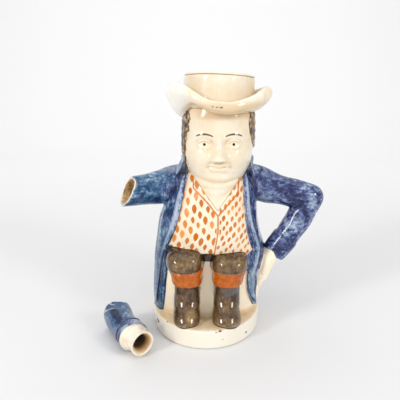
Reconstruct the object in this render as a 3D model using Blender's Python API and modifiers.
"""Figural teapot of glazed earthenware.

A seated man in a long coat is the pot. The hat's crown is its mouth and takes a loose lid. The arm
bent to the hip is the handle. The other arm was the spout: it is broken off short of the elbow, and
its outer end lies on the table in front. The figure faces -Y and stands on a low oval plinth.
"""
import math

import bmesh
import bpy
from mathutils import Matrix, Vector

# Plinth, in metres
PLINTH_WIDTH = 0.1080
PLINTH_DEPTH = 0.1260
PLINTH_HEIGHT = 0.0189
PLINTH_ROUNDING = 0.0022

# The figure's free form is given in shares of its height, from the plinth to the crown's rim
FIGURE_HEIGHT = 0.2250
SHARES_IN_HEIGHT = 225
SHARE = FIGURE_HEIGHT / SHARES_IN_HEIGHT

# Clay walls
BODY_WALL = 0.0045
FLOOR_THICKNESS = 0.0060
ARM_WALL = 0.0030
COAT_THICKNESS = 0.0022
COAT_EDGE_RAISE = 0.0012

# Crown of the hat and its lid
CROWN_RADIUS = 0.0328
CROWN_HEIGHT = 0.0340
CROWN_FLARE = 0.0008
MOUTH_RADIUS = 0.0280
RIM_ROUNDING = 0.0010
LID_EDGE = 0.0022
LID_DOME = 0.0008
LID_DOME_STEPS = ((0.0, 1.0), (0.40, 0.84), (0.75, 0.44))
LID_FLANGE_DEPTH = 0.0050
LID_FLANGE_WALL = 0.0030
LID_FLANGE_PLAY = 0.0008
SEAT_GAP = 0.0003
HAT_TILT_BACK = math.radians(5.4)
HAT_TILT_SIDE = math.radians(2.3)

# Brim of the hat
BRIM_THICKNESS = 0.0046
BRIM_TIP = 0.0018

# Spout arm and its broken end
SPOUT_RADIUS = 0.0136
BREAK_ROUGHNESS = 0.0008
CUFF_RAISE = 0.0012
SPOUT_MOUTH_RADIUS = 0.0117
SPOUT_BORE_RADIUS = 0.0070
BROKEN_END_LENGTH = 0.0638

# Facets and steps round each form
PLINTH_SIDES = 44
TRUNK_SIDES = 32
HOLLOW_SIDES = 24
LEG_SIDES = 20
LIMB_SIDES = 14
FINGER_SIDES = 8
NECKCLOTH_SIDES = 16
TURNED_SIDES = 36
BRIM_SIDES = 40
BROKEN_END_SIDES = 20
FACE_SIDES = 22
HEAD_BACK_SIDES = 12
COAT_STEPS = 22
HAIR_STEPS = 14
COLLAR_STEPS = 16
ROUNDING_STEPS = 2

# How far a cut runs past the clay it opens
CUT_PAST = 0.0060

# Rows of level outlines: height over the plinth, middle, half width, front, back, squareness
TRUNK = [
    (-5, 0.8, 51.5, -36.0, 50.0, 2.4),
    (20, 2.2, 53.6, -36.0, 49.0, 2.6),
    (45, 3.4, 53.4, -36.5, 48.0, 2.6),
    (64, 4.0, 52.0, -37.5, 46.5, 2.4),
    (68, 3.8, 51.0, -41.0, 46.0, 2.3),
    (78, 2.8, 48.6, -42.0, 44.0, 2.2),
    (90, 2.4, 46.4, -41.0, 42.0, 2.2),
    (105, 4.2, 43.4, -37.5, 40.0, 2.2),
    (120, 8.0, 38.5, -32.5, 37.0, 2.2),
    (132, 9.5, 33.5, -27.0, 33.0, 2.1),
    (142, 10.5, 27.0, -22.0, 28.0, 2.0),
    (150, 11.0, 21.0, -18.0, 22.0, 2.0),
]

# The coat's two front edges: height over the plinth, left and right
COAT_EDGES = [
    (-3, -44.8, 49.5),
    (2, -43.4, 48.8),
    (8, -42.2, 46.6),
    (22, -40.3, 40.6),
    (34, -39.2, 39.2),
    (46, -37.8, 40.2),
    (61, -37.3, 44.2),
    (72, -35.2, 43.6),
    (86, -30.0, 39.8),
    (107, -24.2, 35.2),
    (124, -20.2, 33.8),
    (136, -17.3, 32.8),
    (145, -14.5, 31.2),
]

COAT_LEVELS = (-3, 8, 22, 34, 46, 61, 72, 86, 97, 107, 116, 124, 131, 137, 142, 146)
# The raised edge's part of the way round the coat
COAT_EDGE_SHARE = 0.06

HEAD = [
    (128, 10.5, 14.0, -24.0, 16.0, 2.0),
    (132, 10.5, 20.5, -30.5, 20.0, 2.0),
    (138, 10.5, 26.5, -34.0, 26.0, 2.1),
    (147, 10.6, 30.5, -35.0, 29.0, 2.2),
    (157, 10.7, 32.6, -35.0, 30.0, 2.3),
    (169, 10.9, 33.2, -35.0, 31.0, 2.3),
    (181, 11.1, 33.0, -34.5, 31.0, 2.3),
    (192, 11.3, 32.4, -33.5, 31.0, 2.2),
    (199, 11.5, 31.5, -32.0, 31.0, 2.1),
]

HEAD_LEVELS = (
    128, 132, 136, 140, 144, 148, 152, 155, 158, 162, 166, 170, 174, 179, 186, 193, 199
)

# Features of the face: sideways place, height, sideways spread, height spread, relief
FACE_MIDDLE_SHARES = 10.8
FACE_FADE = 1.6
FACE_FEATURES = [
    (0.0, 166.0, 2.6, 4.5, 3.2),
    (0.0, 158.0, 3.6, 4.0, 6.0),
    (-4.6, 154.8, 2.2, 2.0, 2.4),
    (4.6, 154.8, 2.2, 2.0, 2.4),
    (-13.2, 168.5, 7.0, 4.2, -2.6),
    (13.2, 168.5, 7.0, 4.2, -2.6),
    (-12.6, 173.6, 8.0, 2.6, 1.4),
    (12.6, 173.6, 8.0, 2.6, 1.4),
    (-17.0, 156.0, 7.5, 8.0, 2.4),
    (17.0, 156.0, 7.5, 8.0, 2.4),
    (0.0, 147.5, 8.0, 5.0, 1.8),
    (0.0, 137.5, 6.0, 3.8, 2.8),
]

# Hair at the sides and back: height, and how far forward of the side its edge comes, in degrees
HAIR_EDGES = [
    (134, 2.0, 2.0),
    (150, 6.0, 6.0),
    (163, 9.0, 10.0),
    (175, 20.0, 22.0),
    (186, 33.0, 30.0),
    (196, 38.0, 36.0),
]
HAIR_LEVELS = (134, 142, 150, 157, 163, 169, 175, 181, 188, 196)
HAIR_THICKNESS = 0.0012

# Levels the hollow is shaped at
TRUNK_HOLLOW_LEVELS = (20, 45, 62, 74, 90, 105, 120, 132, 142, 148)
HEAD_HOLLOW_LEVELS = (134, 140, 148, 158, 170, 182, 192, 198)

# Limbs: across, depth, height over the plinth, half thickness in the limb's plane and out of it
UPPER_ARM = [
    (24.0, 3.0, 122.0, 20.0, 15.0),
    (44.0, 2.5, 126.0, 18.0, 14.5),
    (62.0, 2.0, 120.5, 15.8, 14.0),
    (80.0, 1.0, 116.5, 14.2, 13.5),
    (100.8, -1.0, 111.5, 13.8, 13.4),
]
FOREARM = [
    (101.4, -1.0, 111.4, 13.4, 13.3),
    (94.1, -3.0, 96.2, 12.8, 12.8),
    (83.0, -5.0, 77.4, 12.4, 12.4),
    (70.4, -6.5, 60.6, 11.2, 11.6),
]
CUFF_SLEEVE = [
    (79.6, -5.4, 72.8, 12.2, 12.4),
    (78.2, -5.6, 70.8, 13.0, 13.2),
    (70.2, -6.5, 60.2, 12.2, 12.6),
    (69.2, -6.6, 59.0, 10.8, 11.2),
]
HAND = [
    (72.0, -7.5, 63.0, 6.4, 8.6),
    (63.4, -9.5, 55.5, 8.6, 10.6),
    (57.2, -11.0, 46.0, 9.6, 11.2),
    (53.8, -12.0, 36.0, 8.6, 10.8),
]
# Fingers: across, depth and length, then the height they start from and how they taper
FINGERS = [
    (53.6, -19.6, 13.0),
    (55.0, -14.6, 16.5),
    (56.0, -9.6, 17.5),
    (56.4, -4.8, 14.5),
]
FINGER_START_SHARES = 39.0
FINGER_LEAN_SHARES = -2.4
FINGER_HALF_SHARES = 2.8
FINGER_DEEPER = 1.45
FINGER_TAPER = ((0.0, 1.0), (0.55, 0.95), (0.9, 0.75), (1.0, 0.35))

SPOUT_ARM = [
    (-14.0, 4.0, 124.0, 21.0, 15.0),
    (-30.0, 1.5, 125.5, 18.0, 15.0),
    (-45.0, -2.5, 121.5, 16.2, 14.8),
    (-60.0, -8.5, 120.4, 15.0, 14.4),
]
BREAK_CENTRE = (-75.0, -15.0, 120.4)
# The bore starts inside the trunk, and runs past the break by this share of the last step
SPOUT_BORE_START = (-12.0, 4.0, 122.0, 16.0, 15.0)
SPOUT_BORE_PAST = 1.2
BREAK_FACING = (-0.90, -0.40, 0.47)

LEFT_THIGH = [
    (-14.0, -12.0, 59.0, 12.8, 17.0),
    (-17.5, -28.0, 59.3, 13.0, 17.0),
    (-19.0, -40.0, 58.6, 13.0, 16.4),
    (-19.4, -49.0, 57.8, 10.8, 13.6),
    (-19.4, -54.6, 57.2, 5.3, 6.9),
]
RIGHT_THIGH = [
    (18.0, -12.0, 55.0, 12.0, 17.5),
    (20.5, -28.0, 54.8, 11.8, 17.6),
    (21.6, -40.0, 54.0, 11.8, 17.0),
    (21.8, -49.0, 53.6, 9.8, 14.2),
    (21.8, -54.6, 53.4, 4.8, 7.2),
]
BOOT = [
    (-4, -18.4, 12.0, -55.5, -28.0, 2.4),
    (1.2, -18.4, 12.8, -57.4, -28.0, 2.4),
    (3.2, -18.4, 13.8, -58.6, -28.0, 2.4),
    (8, -18.4, 13.6, -58.0, -28.0, 2.3),
    (15, -18.2, 13.2, -56.4, -28.0, 2.2),
    (22, -18.2, 12.6, -53.0, -28.0, 2.1),
    (32, -18.0, 12.7, -52.0, -27.0, 2.1),
    (39, -18.0, 13.4, -53.2, -26.0, 2.1),
]
GARTER = [
    (39, -18.0, 14.0, -54.0, -26.0, 2.1),
    (47, -18.6, 14.9, -55.6, -24.0, 2.2),
    (53, -19.0, 15.8, -56.4, -24.0, 2.2),
    (60, -19.2, 15.4, -52.0, -24.0, 2.2),
]
# From the left leg across to the right one
LEG_SPACING_SHARES = 37.4

NECKCLOTH = [
    (118, 8.5, 10.0, -33.0, -6.0, 2.2),
    (124, 9.0, 14.0, -33.6, -4.0, 2.2),
    (130, 9.6, 19.0, -33.2, -2.0, 2.2),
    (136, 10.2, 22.0, -30.0, 0.0, 2.2),
]

COLLAR = [
    (128, 11.0, 34.5, -16.0, 35.0, 2.1),
    (138, 11.0, 33.8, -14.0, 34.5, 2.1),
    (146, 11.0, 35.4, -13.0, 36.5, 2.1),
]
COLLAR_OPENING = math.radians(38)
COLLAR_THICKNESS = 0.0050

# Hat brim: out from the crown's wall and down from its rim, for the dipped front and the raised sides
BRIM_FRONT = [(0.0, -26.0), (4.2, -30.0), (10.7, -31.8), (14.8, -29.0), (14.6, -24.8)]
BRIM_SIDE = [(0.0, -28.5), (3.7, -27.5), (10.2, -21.0), (14.0, -13.5), (11.8, -7.6)]
# How much of a quarter turn stays at the dipped shape before the sides rise
BRIM_DIP_SHARE = 0.1
HAT_PLACE = (11.8, 0.0)

# The broken end on the table: centre line from the break to the spout's mouth
END_ACROSS = -0.0895
END_DEPTH = -0.0205
END_DIRECTION = math.radians(-68.5)
END_CURVE = math.radians(17.6)
# Share of its length, then share of the arm's radius or of the mouth's
END_SLEEVE = ((0.0, 1.03), (0.20, 0.98), (0.42, 0.92), (0.575, 0.90))
END_CUFF = ((0.595, 0.92), (0.69, 0.93), (0.775, 0.92))
END_HAND = ((0.79, 1.02), (0.86, 1.05), (0.93, 1.0), (0.985, 1.0), (1.0, 0.93))
END_BORE = ((0.0, 1.0), (0.38, 0.90))
END_NARROW_BORE = (0.72, 0.90)
SPOUT_LIP_FLARE = 0.0020
SPOUT_LIP_PAST = 0.0008


def smooth_rows(rows, levels):
    """Rows of numbers read at new levels of their first number, without overshoot."""
    count = len(rows)
    width = len(rows[0])
    slopes = []
    for column in range(1, width):
        steps = []
        for low, high in zip(rows, rows[1:]):
            steps.append((high[column] - low[column]) / (high[0] - low[0]))
        line = [steps[0]]
        for before, after in zip(steps, steps[1:]):
            line.append(2 * before * after / (before + after) if before * after > 0 else 0.0)
        line.append(steps[-1])
        slopes.append(line)
    result = []
    for level in levels:
        index = 0
        while index < count - 2 and level > rows[index + 1][0]:
            index += 1
        low, high = rows[index], rows[index + 1]
        span = high[0] - low[0]
        t = (level - low[0]) / span
        row = [level]
        for column in range(1, width):
            rise0 = slopes[column - 1][index] * span
            rise1 = slopes[column - 1][index + 1] * span
            value = (2 * t**3 - 3 * t**2 + 1) * low[column] + (t**3 - 2 * t**2 + t) * rise0
            value += (3 * t**2 - 2 * t**3) * high[column] + (t**3 - t**2) * rise1
            row.append(value)
        result.append(tuple(row))
    return result


def refined(rows, per_step):
    """The rows with more levels between them."""
    levels = []
    for low, high in zip(rows, rows[1:]):
        for step in range(per_step):
            levels.append(low[0] + (high[0] - low[0]) * step / per_step)
    levels.append(rows[-1][0])
    return smooth_rows(rows, levels)


def height(level):
    """World height of a level given in shares over the plinth."""
    return PLINTH_HEIGHT + level * SHARE


def oval_point(row, angle, grow=0.0):
    """A point on a level outline, where angle 0 is +X and -90 degrees is the front."""
    level, middle, half, front, back, power = row
    across = half * SHARE + grow
    deep = (back - front) / 2 * SHARE + grow
    c, s = math.cos(angle), math.sin(angle)
    x = middle * SHARE + across * math.copysign(abs(c) ** (2 / power), c)
    y = (front + back) / 2 * SHARE + deep * math.copysign(abs(s) ** (2 / power), s)
    return Vector((x, y, height(level)))


def edge_angle(row, x, grow=0.0):
    """The angle on the front half of a level outline at a place across it."""
    level, middle, half, front, back, power = row
    share = (x - middle) * SHARE / (half * SHARE + grow)
    share = max(-0.999, min(0.999, share))
    c = math.copysign(abs(share) ** (power / 2), share)
    return -math.acos(c)


def oval_ring(row, sides, grow=0.0):
    return [oval_point(row, 2 * math.pi * k / sides, grow) for k in range(sides)]


def loft(name, rings, looped=False, folded=False):
    """A closed solid through rings of points that all run the same way round.

    A folded ring goes out along one face of a band and back along the other."""
    shape = bmesh.new()
    loops = [[shape.verts.new(point) for point in ring] for ring in rings]
    pairs = list(zip(loops, loops[1:]))
    if looped:
        pairs.append((loops[-1], loops[0]))
    for low, high in pairs:
        for k in range(len(low)):
            n = (k + 1) % len(low)
            shape.faces.new((low[k], low[n], high[n], high[k]))
    for loop in () if looped else (loops[0], loops[-1]):
        if folded:
            for k in range(len(loop) // 2 - 1):
                shape.faces.new((loop[k], loop[k + 1], loop[-k - 2], loop[-k - 1]))
        else:
            middle = sum((v.co for v in loop), Vector()) / len(loop)
            hub = shape.verts.new(middle)
            for k in range(len(loop)):
                shape.faces.new((loop[k], loop[(k + 1) % len(loop)], hub))
    bmesh.ops.recalc_face_normals(shape, faces=shape.faces)
    return finished(name, shape)


def finished(name, shape):
    """A mesh object made from a bmesh, standing in the scene."""
    mesh = bpy.data.meshes.new(name)
    shape.to_mesh(mesh)
    shape.free()
    mesh.set_sharp_from_angle(angle=math.radians(50))
    result = bpy.data.objects.new(name, mesh)
    bpy.context.scene.collection.objects.link(result)
    return result


def stack(name, rows, sides, per_step=1, grow=0.0):
    """A closed solid through level outlines."""
    return loft(name, [oval_ring(row, sides, grow) for row in refined(rows, per_step)])


def limb_rings(rows, sides, out_of_plane, grow=0.0, round_start=False, round_end=False):
    """Rings across a limb, from rows of centre, half thickness in its plane and out of it.

    A rounded end bulges past its row by about the half thickness there."""
    centres = [Vector((row[0] * SHARE, row[1] * SHARE, height(row[2]))) for row in rows]
    rings = []
    for index, row in enumerate(rows):
        before = centres[max(index - 1, 0)]
        after = centres[min(index + 1, len(rows) - 1)]
        along = (after - before).normalized()
        out = (out_of_plane - along * out_of_plane.dot(along)).normalized()
        across = along.cross(out)
        ring = []
        for k in range(sides):
            angle = 2 * math.pi * k / sides
            offset = across * (row[3] * SHARE + grow) * math.cos(angle)
            offset += out * (row[4] * SHARE + grow) * math.sin(angle)
            ring.append(centres[index] + offset)
        rings.append(ring)
    if round_start:
        bulge = rounded_rings(centres[0], centres[0] - centres[1], rows[0][4] * SHARE + grow, rings[0])
        rings = bulge[::-1] + rings
    if round_end:
        bulge = rounded_rings(centres[-1], centres[-1] - centres[-2], rows[-1][4] * SHARE + grow, rings[-1])
        rings = rings + bulge
    return rings


def rounded_rings(centre, direction, reach, ring):
    """Two smaller rings that round off a limb beyond its last ring."""
    along = direction.normalized()
    rings = []
    for angle in (math.radians(40), math.radians(72)):
        shift = along * reach * math.sin(angle)
        rings.append([centre + (point - centre) * math.cos(angle) + shift for point in ring])
    return rings


def wrap_ring(row, start, end, count, outside, inside):
    """A ring in plan round the back of a level outline, from one front edge to the other.

    outside and inside give how far its two faces stand off the outline."""
    ring = []
    for k in range(count + 1):
        share = k / count
        angle = start + (end - start) * share
        ring.append(oval_point(row, angle, outside(share)))
    for k in range(count, -1, -1):
        angle = start + (end - start) * k / count
        ring.append(oval_point(row, angle, -inside))
    return ring


def add_material(target, name, colour, roughness):
    """A glazed clay finish on an object."""
    material = bpy.data.materials.new(name)
    material.use_nodes = True
    shader = material.node_tree.nodes["Principled BSDF"]
    shader.inputs["Base Color"].default_value = (*colour, 1.0)
    shader.inputs["Roughness"].default_value = roughness
    shader.inputs["Metallic"].default_value = 0.0
    target.data.materials.append(material)


def combine(target, others, operation, group):
    """Join other solids to the target, or cut them out, all at once with a live modifier."""
    collection = bpy.data.collections.new(group)
    for other in others:
        other.display_type = "WIRE"
        other.hide_render = True
        for holder in list(other.users_collection):
            holder.objects.unlink(other)
        collection.objects.link(other)
    modifier = target.modifiers.new(group, "BOOLEAN")
    modifier.operation = operation
    modifier.solver = "EXACT"
    modifier.operand_type = "COLLECTION"
    modifier.collection = collection
    return collection


def make_plinth():
    """The oval plinth, with rounded edges."""
    bpy.ops.mesh.primitive_cylinder_add(vertices=PLINTH_SIDES, radius=0.5, depth=1.0)
    plinth = bpy.context.object
    plinth.name = "plinth_form"
    size = Matrix.Diagonal((PLINTH_WIDTH, PLINTH_DEPTH, PLINTH_HEIGHT, 1.0))
    plinth.data.transform(Matrix.Translation((0, 0, PLINTH_HEIGHT / 2)) @ size)
    rounding = plinth.modifiers.new("rounded edge", "BEVEL")
    rounding.width = PLINTH_ROUNDING
    rounding.segments = ROUNDING_STEPS
    rounding.limit_method = "ANGLE"
    rounding.angle_limit = math.radians(60)
    return plinth


def make_coat():
    """The coat round the sides and back, open in front, with raised edges."""
    rings = []
    for row, edge in zip(smooth_rows(TRUNK, COAT_LEVELS), smooth_rows(COAT_EDGES, COAT_LEVELS)):
        left = edge_angle(row, edge[1], COAT_THICKNESS)
        right = edge_angle(row, edge[2], COAT_THICKNESS)
        left += 2 * math.pi
        rings.append(wrap_ring(row, right, left, COAT_STEPS, coat_face, BODY_WALL / 2))
    return loft("coat_form", rings, folded=True)


def coat_face(share):
    """How far the coat's outer face stands off the body, along its width from edge to edge."""
    from_edge = min(share, 1 - share)
    return COAT_THICKNESS + (COAT_EDGE_RAISE if from_edge < COAT_EDGE_SHARE else 0.0)


def make_collar():
    """The coat's collar, standing round the neck and rolled outward."""
    rings = []
    for row in COLLAR:
        start = -COLLAR_OPENING
        end = math.pi + COLLAR_OPENING
        ring = wrap_ring(row, start, end, COLLAR_STEPS, lambda share: 0.0, COLLAR_THICKNESS)
        rings.append(ring)
    return loft("collar_form", rings, folded=True)


def face_relief(x, level):
    """How far the face stands off the plain head at a place, in shares."""
    relief = 0.0
    for across, up, wide, tall, rise in FACE_FEATURES:
        dx = (x - FACE_MIDDLE_SHARES - across) / wide
        dz = (level - up) / tall
        relief += rise * math.exp(-(dx * dx + dz * dz) / 2)
    return relief


def make_head():
    """The head, with the features of the face in relief."""
    rings = []
    for row in smooth_rows(HEAD, HEAD_LEVELS):
        ring = []
        for k in range(FACE_SIDES + HEAD_BACK_SIDES):
            if k < FACE_SIDES:
                angle = -math.pi + math.pi * k / FACE_SIDES
            else:
                angle = math.pi * (k - FACE_SIDES) / HEAD_BACK_SIDES
            point = oval_point(row, angle)
            facing = max(0.0, -math.sin(angle))
            point.y -= face_relief(point.x / SHARE, row[0]) * SHARE * min(1.0, FACE_FADE * facing)
            ring.append(point)
        rings.append(ring)
    return loft("head_form", rings)


def make_hair():
    """The hair down the sides and round the back of the head."""
    rings = []
    for row, edge in zip(smooth_rows(HEAD, HAIR_LEVELS), smooth_rows(HAIR_EDGES, HAIR_LEVELS)):
        start = -math.radians(edge[2])
        end = math.pi + math.radians(edge[1])
        ring = wrap_ring(row, start, end, HAIR_STEPS, lambda share: HAIR_THICKNESS, BODY_WALL / 2)
        rings.append(ring)
    return loft("hair_form", rings, folded=True)


def turned(name, profile):
    """A solid of revolution. The profile runs from the axis at the top, outside, to the axis."""
    mesh = bpy.data.meshes.new(name)
    shape = bmesh.new()
    chain = [shape.verts.new((r, 0.0, z)) for r, z in profile]
    for above, below in zip(chain, chain[1:]):
        shape.edges.new((above, below))
    shape.to_mesh(mesh)
    shape.free()
    result = bpy.data.objects.new(name, mesh)
    bpy.context.scene.collection.objects.link(result)
    spin = result.modifiers.new("turned", "SCREW")
    spin.steps = TURNED_SIDES
    spin.render_steps = TURNED_SIDES
    spin.use_merge_vertices = True
    spin.merge_threshold = 0.00005
    return result


def make_crown():
    """The hat's crown, in the hat's own frame with the rim at height 0."""
    top = CROWN_RADIUS
    base = CROWN_RADIUS + CROWN_FLARE
    profile = [
        (0.0, 0.0),
        (top - RIM_ROUNDING, 0.0),
        (top, -RIM_ROUNDING),
        (base, -CROWN_HEIGHT),
        (0.0, -CROWN_HEIGHT),
    ]
    return turned("crown_form", profile)


def make_mouth():
    """What is bored out of the crown."""
    below = CROWN_HEIGHT + BODY_WALL
    profile = [(0.0, CUT_PAST), (MOUTH_RADIUS, CUT_PAST), (MOUTH_RADIUS, -below), (0.0, -below)]
    return turned("mouth_cut", profile)


def make_brim():
    """The brim: a thick band round the crown, dipped in front and curled up at the sides."""
    rings = []
    for k in range(BRIM_SIDES):
        angle = 2 * math.pi * k / BRIM_SIDES
        side = max(0.0, (abs(math.cos(angle)) - BRIM_DIP_SHARE) / (1 - BRIM_DIP_SHARE))
        side = side * side * (3 - 2 * side)
        line = []
        for low, high in zip(BRIM_FRONT, BRIM_SIDE):
            across = CROWN_RADIUS + (low[0] + (high[0] - low[0]) * side) * SHARE
            up = (low[1] + (high[1] - low[1]) * side) * SHARE
            line.append(Vector((across, 0.0, up)))
        line[0].x -= BODY_WALL / 2
        ring = []
        under = []
        for index, point in enumerate(line):
            before = line[max(index - 1, 0)]
            after = line[min(index + 1, len(line) - 1)]
            along = (after - before).normalized()
            normal = Vector((-along.z, 0.0, along.x))
            ring.append(point + normal * BRIM_THICKNESS / 2)
            under.append(point - normal * BRIM_THICKNESS / 2)
        tip = line[-1] + (line[-1] - line[-2]).normalized() * BRIM_TIP
        turn = Matrix.Rotation(angle, 3, "Z")
        rings.append([turn @ point for point in ring + [tip] + under[::-1]])
    return loft("brim_form", rings, looped=True)


def make_lid():
    """The lid: a thin domed disc with a ring below that drops into the mouth."""
    edge = CROWN_RADIUS
    flange = MOUTH_RADIUS - LID_FLANGE_PLAY
    inner = flange - LID_FLANGE_WALL
    profile = [(edge * out, SEAT_GAP + LID_EDGE + LID_DOME * up) for out, up in LID_DOME_STEPS]
    profile += [
        (edge - RIM_ROUNDING, SEAT_GAP + LID_EDGE),
        (edge, SEAT_GAP + LID_EDGE - RIM_ROUNDING),
        (edge, SEAT_GAP),
        (flange, SEAT_GAP),
        (flange, -LID_FLANGE_DEPTH),
        (inner, -LID_FLANGE_DEPTH),
        (inner, SEAT_GAP),
        (0.0, SEAT_GAP),
    ]
    return turned("lid", profile)


def break_offset(angle):
    """The rough line of the break, along the arm, round the arm's section."""
    wave = math.sin(2 * angle + 0.6) + 0.7 * math.sin(5 * angle + 1.9)
    return BREAK_ROUGHNESS * wave


def break_ring(along):
    """The last ring of the spout arm, on the slanted plane of the break."""
    centre = Vector((BREAK_CENTRE[0] * SHARE, BREAK_CENTRE[1] * SHARE, height(BREAK_CENTRE[2])))
    facing = Vector(BREAK_FACING).normalized()
    out = (Vector((0, 1, 0)) - along * along.y).normalized()
    across = along.cross(out)
    ring = []
    for k in range(LIMB_SIDES):
        angle = 2 * math.pi * k / LIMB_SIDES
        point = centre + (across * math.cos(angle) + out * math.sin(angle)) * SPOUT_RADIUS
        slide = (centre - point).dot(facing) / along.dot(facing)
        ring.append(point + along * (slide + break_offset(angle)))
    return ring


def make_spout_arm():
    """What is left of the raised arm, up to its broken end."""
    rings = limb_rings(SPOUT_ARM, LIMB_SIDES, Vector((0, 1, 0)))
    last = Vector(BREAK_CENTRE) - Vector(SPOUT_ARM[-1][:3])
    rings.append(break_ring(last.normalized()))
    return loft("spout_arm_form", rings)


def make_spout_bore():
    """The way through the spout arm, out past its broken end."""
    break_at = Vector(BREAK_CENTRE)
    beyond = break_at + (break_at - Vector(SPOUT_ARM[-1][:3])) * SPOUT_BORE_PAST
    half = (SPOUT_RADIUS / SHARE, SPOUT_RADIUS / SHARE)
    rows = [SPOUT_BORE_START, *SPOUT_ARM[1:], (*break_at, *half), (*beyond, *half)]
    rings = limb_rings(rows, LIMB_SIDES, Vector((0, 1, 0)), -ARM_WALL)
    return loft("spout_bore_cut", rings)


def make_hollow():
    """The inside of the pot: trunk, head and plinth, each set in by the wall."""
    floor = (FLOOR_THICKNESS - PLINTH_HEIGHT) / SHARE
    rows = smooth_rows(TRUNK, (floor, *TRUNK_HOLLOW_LEVELS))
    trunk = loft("trunk_hollow_cut", [oval_ring(row, HOLLOW_SIDES, -BODY_WALL) for row in rows])
    rows = smooth_rows(HEAD, HEAD_HOLLOW_LEVELS)
    head = loft("head_hollow_cut", [oval_ring(row, HOLLOW_SIDES, -BODY_WALL) for row in rows])
    return [trunk, head]


def make_leg(name, thigh, boot, band, shift):
    """A thigh that comes out of the lap, its garter band and its boot."""
    solids = [loft(name + "_thigh_form", limb_rings(thigh, LIMB_SIDES, Vector((1, 0, 0))))]
    for part, rows in (("boot", boot), ("band", band)):
        moved = [(row[0], row[1] + shift, *row[2:]) for row in rows]
        solids.append(stack(name + "_" + part + "_form", moved, LEG_SIDES))
    return solids


def make_hand():
    """The hand flat on the hip, fingers down."""
    solids = [loft("palm_form", limb_rings(HAND, LIMB_SIDES, Vector((0, 1, 0))))]
    for index, (across, depth, length) in enumerate(FINGERS):
        rows = []
        for share, thick in FINGER_TAPER:
            level = FINGER_START_SHARES - length * share
            half = FINGER_HALF_SHARES * thick
            rows.append((across + FINGER_LEAN_SHARES * share, depth, level, half * FINGER_DEEPER, half))
        rings = limb_rings(rows, FINGER_SIDES, Vector((0, 1, 0)))
        solids.append(loft("finger_%d_form" % index, rings))
    return solids


def end_centre(distance):
    """A point of the broken end's centre line on the table plane, and its direction."""
    turn = END_CURVE * distance / BROKEN_END_LENGTH
    heading = END_DIRECTION + turn / 2
    along = Vector((math.cos(heading), math.sin(heading), 0.0))
    point = Vector((END_ACROSS, END_DEPTH, 0.0)) + along * distance
    final = END_DIRECTION + turn
    return point, Vector((math.cos(final), math.sin(final), 0.0))


def end_ring(distance, radius, jagged=False):
    """A ring across the broken end, which lies on the table."""
    centre, along = end_centre(distance)
    centre = centre + Vector((0, 0, SPOUT_RADIUS))
    side = Vector((-along.y, along.x, 0.0))
    ring = []
    for k in range(BROKEN_END_SIDES):
        angle = 2 * math.pi * k / BROKEN_END_SIDES
        point = centre + (side * math.cos(angle) + Vector((0, 0, 1)) * math.sin(angle)) * radius
        if jagged:
            point += along * break_offset(angle)
        ring.append(point)
    return ring


def make_broken_end():
    """The spout arm's outer end: sleeve, turned-back cuff and the hand with the spout's mouth."""
    full = BROKEN_END_LENGTH
    rings = []
    for share, size in END_SLEEVE:
        rings.append(end_ring(full * share, SPOUT_RADIUS * size, jagged=share == 0.0))
    for share, size in END_CUFF:
        rings.append(end_ring(full * share, SPOUT_RADIUS * size + CUFF_RAISE))
    for share, size in END_HAND:
        rings.append(end_ring(full * share, SPOUT_MOUTH_RADIUS * size))
    body = loft("spout_arm_end", rings)
    lowest = min(vertex.co.z for vertex in body.data.vertices)
    drop = Matrix.Translation((0, 0, -lowest))
    body.data.transform(drop)
    rings = []
    for share, size in END_BORE:
        distance = full * share if share else -CUT_PAST
        rings.append(end_ring(distance, SPOUT_RADIUS * size - ARM_WALL))
    for share in END_NARROW_BORE:
        rings.append(end_ring(full * share, SPOUT_BORE_RADIUS))
    rings.append(end_ring(full + SPOUT_LIP_PAST, SPOUT_BORE_RADIUS + SPOUT_LIP_FLARE))
    bore = loft("spout_end_bore_cut", rings)
    bore.data.transform(drop)
    return body, combine(body, [bore], "DIFFERENCE", "spout_end_bore")


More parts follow.
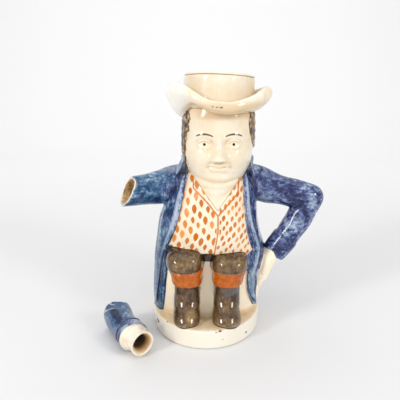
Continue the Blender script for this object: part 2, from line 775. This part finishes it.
def main():
    for old in list(bpy.data.objects):
        bpy.data.objects.remove(old, do_unlink=True)
    parts = bpy.data.collections.new("figural_teapot")
    cutters = bpy.data.collections.new("figural_teapot_forms")
    bpy.context.scene.collection.children.link(parts)
    bpy.context.scene.collection.children.link(cutters)

    body = stack("pot_body", TRUNK, TRUNK_SIDES)
    depth = Vector((0, 1, 0))
    forms = [make_plinth(), make_coat(), make_spout_arm()]
    forms.append(loft("upper_arm_form", limb_rings(UPPER_ARM, LIMB_SIDES, depth, round_end=True)))
    forms.append(loft("forearm_form", limb_rings(FOREARM, LIMB_SIDES, depth, round_start=True)))
    forms.append(loft("cuff_form", limb_rings(CUFF_SLEEVE, LIMB_SIDES, depth)))
    forms += make_hand()
    forms += make_leg("left", LEFT_THIGH, BOOT, GARTER, 0.0)
    forms += make_leg("right", RIGHT_THIGH, BOOT, GARTER, LEG_SPACING_SHARES)
    forms.append(stack("neckcloth_form", NECKCLOTH, NECKCLOTH_SIDES))
    forms += [make_head(), make_hair(), make_collar()]

    hat = bpy.data.objects.new("hat_frame", None)
    parts.objects.link(hat)
    hat.location = (HAT_PLACE[0] * SHARE, HAT_PLACE[1] * SHARE, height(SHARES_IN_HEIGHT))
    hat.rotation_euler = (-HAT_TILT_BACK, HAT_TILT_SIDE, 0.0)
    crown, brim, mouth, lid = make_crown(), make_brim(), make_mouth(), make_lid()
    for piece in (crown, brim, mouth, lid):
        piece.parent = hat
    forms += [crown, brim]
    groups = [combine(body, forms, "UNION", "pot_body_forms")]
    hollows = make_hollow() + [mouth, make_spout_bore()]
    groups.append(combine(body, hollows, "DIFFERENCE", "pot_body_hollows"))
    broken_end, end_group = make_broken_end()
    groups.append(end_group)

    add_material(body, "glazed_earthenware", (0.80, 0.72, 0.58), 0.22)
    add_material(lid, "cream_glaze", (0.83, 0.76, 0.64), 0.20)
    add_material(broken_end, "blue_glaze", (0.12, 0.20, 0.42), 0.20)
    for piece in (body, lid, broken_end):
        bpy.context.scene.collection.objects.unlink(piece)
        parts.objects.link(piece)
    for group in groups:
        cutters.children.link(group)
    bpy.context.view_layer.update()


main()
